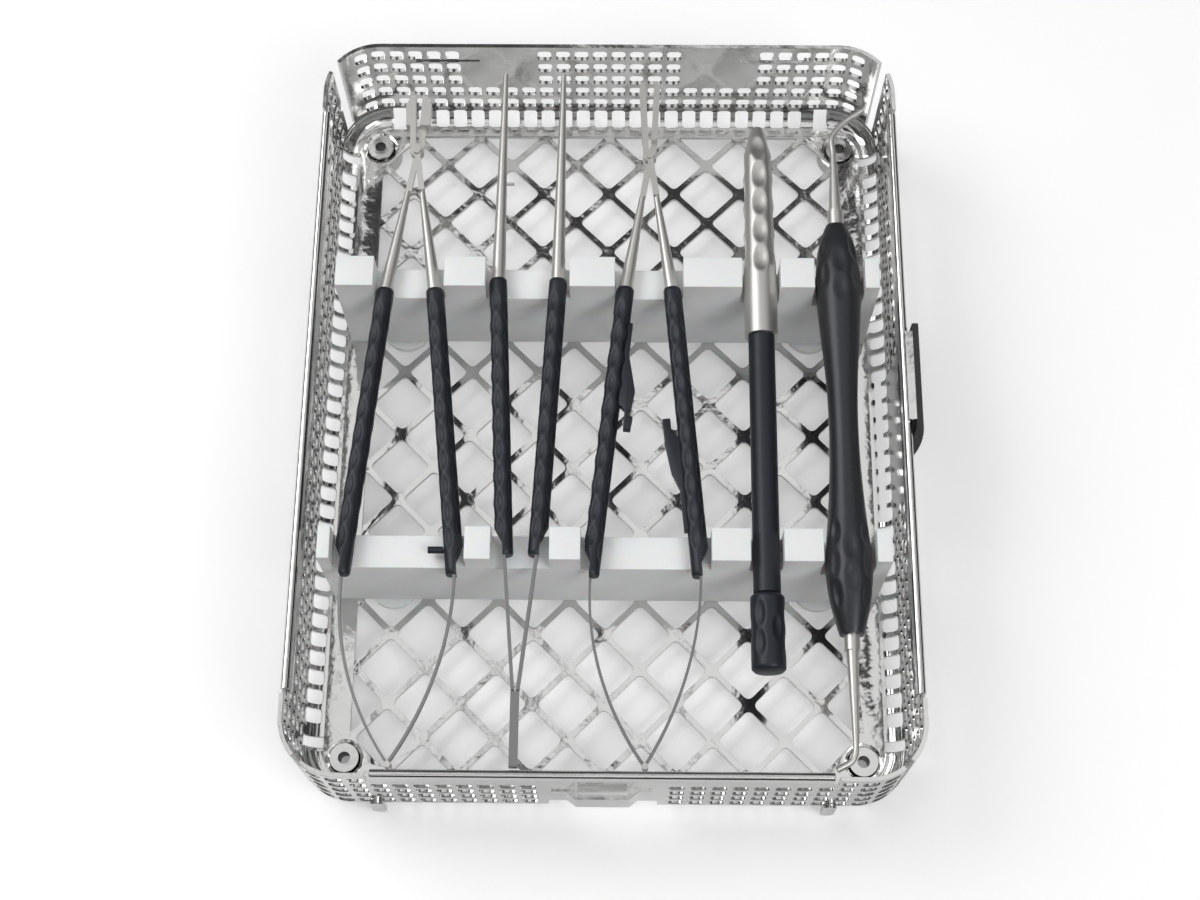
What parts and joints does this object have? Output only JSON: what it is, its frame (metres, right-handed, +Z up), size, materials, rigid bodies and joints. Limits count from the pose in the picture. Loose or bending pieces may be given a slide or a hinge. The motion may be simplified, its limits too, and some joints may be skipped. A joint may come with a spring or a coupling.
{
  "type": "instrument tray",
  "caption": "Perforated steel instrument tray with notched racks that hold microsurgical instruments, and a rim latch for a lid.",
  "frame": {"origin": "middle of the tray's plan, on the plane the feet stand on", "axes": "+Z up, +Y to the rear wall with the lid slots, +X to the wall with the latch"},
  "size_m": [0.1414, 0.1822, 0.0379],
  "materials": {
    "tray_steel": "electropolished stainless steel",
    "rack_plastic": "translucent white, satin",
    "latch_black": "black, satin",
    "grip_black": "black coating with dimples, semi-gloss",
    "hook_dark": "dark grey, satin",
    "instrument_steel": "satin to polished steel",
    "spring_steel": "dark leaf spring steel"
  },
  "bodies": {
    "tray": {"floor_grid": "tray_steel", "floor_bends": "tray_steel", "rear_wall": "tray_steel", "front_wall": "tray_steel", "left_wall": "tray_steel", "right_wall": "tray_steel", "rim_hems": "tray_steel", "front_left_corner": "tray_steel", "front_right_corner": "tray_steel", "rear_left_corner": "tray_steel", "rear_right_corner": "tray_steel", "front_keeper": "tray_steel", "front_lugs": "tray_steel", "feet": "tray_steel", "rivets": "tray_steel", "rear_rack": "rack_plastic", "front_rack": "rack_plastic", "rear_rack_plugs": "rack_plastic", "front_rack_plugs": "rack_plastic", "latch_ears": "tray_steel", "latch_pin": "tray_steel"},
    "latch": {"latch_lever": "latch_black", "latch_grip": "latch_black"},
    "holder_frame": {"holder_pivot_screw": "instrument_steel", "holder_tail_pin": "spring_steel", "holder_left_spring": "spring_steel", "holder_right_spring": "spring_steel"},
    "holder_left": {"holder_left_arm": "instrument_steel", "holder_left_grip": "grip_black"},
    "holder_right": {"holder_right_arm": "instrument_steel", "holder_right_grip": "grip_black", "holder_stop_peg": "grip_black"},
    "forceps_frame": {"forceps_tail": "spring_steel"},
    "forceps_left": {"forceps_left_arm": "instrument_steel", "forceps_left_grip": "grip_black", "forceps_left_leg": "spring_steel"},
    "forceps_right": {"forceps_right_arm": "instrument_steel", "forceps_right_grip": "grip_black", "forceps_right_leg": "spring_steel"},
    "scissors_frame": {"scissors_pivot_screw": "instrument_steel", "scissors_tail_pin": "spring_steel", "scissors_left_spring": "spring_steel", "scissors_right_spring": "spring_steel"},
    "scissors_left": {"scissors_left_arm": "instrument_steel", "scissors_left_grip": "grip_black", "scissors_left_catch": "grip_black"},
    "scissors_right": {"scissors_right_arm": "instrument_steel", "scissors_right_grip": "grip_black", "scissors_right_catch": "grip_black"},
    "blade_handle": {"blade_head": "instrument_steel", "blade_rod": "grip_black"},
    "blade_knob": {"blade_knob": "grip_black"},
    "hook": {"hook_grip": "hook_dark", "hook_rear_tip": "instrument_steel", "hook_front_tip": "instrument_steel"}
  },
  "joints": [
    {"name": "latch_swing", "type": "hinge", "parent": "tray", "child": "latch", "pos_m": [0.0707, 0.0024, 0.015], "axis": [0, 1, 0], "range_deg": [0, 75]},
    {"name": "holder_lift", "type": "slide", "parent": "tray", "child": "holder_frame", "axis": [0, 0, 1], "range_m": [0, 0.08]},
    {"name": "holder_squeeze", "type": "hinge", "parent": "holder_frame", "child": "holder_left", "pos_m": [-0.0462, 0.0627, 0.032], "axis": [0, 0, 1], "range_deg": [0, 2.2], "deforming": ["holder_left_spring"]},
    {"name": "holder_squeeze_right", "type": "hinge", "parent": "holder_frame", "child": "holder_right", "pos_m": [-0.0462, 0.0627, 0.032], "axis": [0, 0, 1], "range_deg": [-2.2, 0], "deforming": ["holder_right_spring"]},
    {"name": "forceps_lift", "type": "slide", "parent": "tray", "child": "forceps_frame", "axis": [0, 0, 1], "range_m": [0, 0.08]},
    {"name": "forceps_squeeze", "type": "hinge", "parent": "forceps_frame", "child": "forceps_left", "pos_m": [-0.01955, -0.07, 0.032], "axis": [0, 0, 1], "range_deg": [-2.2, 0]},
    {"name": "forceps_squeeze_right", "type": "hinge", "parent": "forceps_frame", "child": "forceps_right", "pos_m": [-0.01845, -0.07, 0.032], "axis": [0, 0, 1], "range_deg": [0, 2.2]},
    {"name": "scissors_lift", "type": "slide", "parent": "tray", "child": "scissors_frame", "axis": [0, 0, 1], "range_m": [0, 0.08]},
    {"name": "scissors_squeeze", "type": "hinge", "parent": "scissors_frame", "child": "scissors_left", "pos_m": [0.01, 0.0616, 0.032], "axis": [0, 0, 1], "range_deg": [0, 2.2], "deforming": ["scissors_left_spring"]},
    {"name": "scissors_squeeze_right", "type": "hinge", "parent": "scissors_frame", "child": "scissors_right", "pos_m": [0.01, 0.0616, 0.032], "axis": [0, 0, 1], "range_deg": [-2.2, 0], "deforming": ["scissors_right_spring"]},
    {"name": "blade_handle_lift", "type": "slide", "parent": "tray", "child": "blade_handle", "axis": [0, 0, 1], "range_m": [0, 0.08]},
    {"name": "blade_knob_turn", "type": "hinge", "parent": "blade_handle", "child": "blade_knob", "pos_m": [0.0359, -0.0481, 0.032], "axis": [0, 1, 0], "continuous": true},
    {"name": "hook_lift", "type": "slide", "parent": "tray", "child": "hook", "axis": [0, 0, 1], "range_m": [0, 0.08]}
  ],
  "couplings": [
    {"joint": "holder_squeeze_right", "follows": "holder_squeeze", "ratio": -1},
    {"joint": "forceps_squeeze_right", "follows": "forceps_squeeze", "ratio": -1},
    {"joint": "scissors_squeeze_right", "follows": "scissors_squeeze", "ratio": -1}
  ]
}
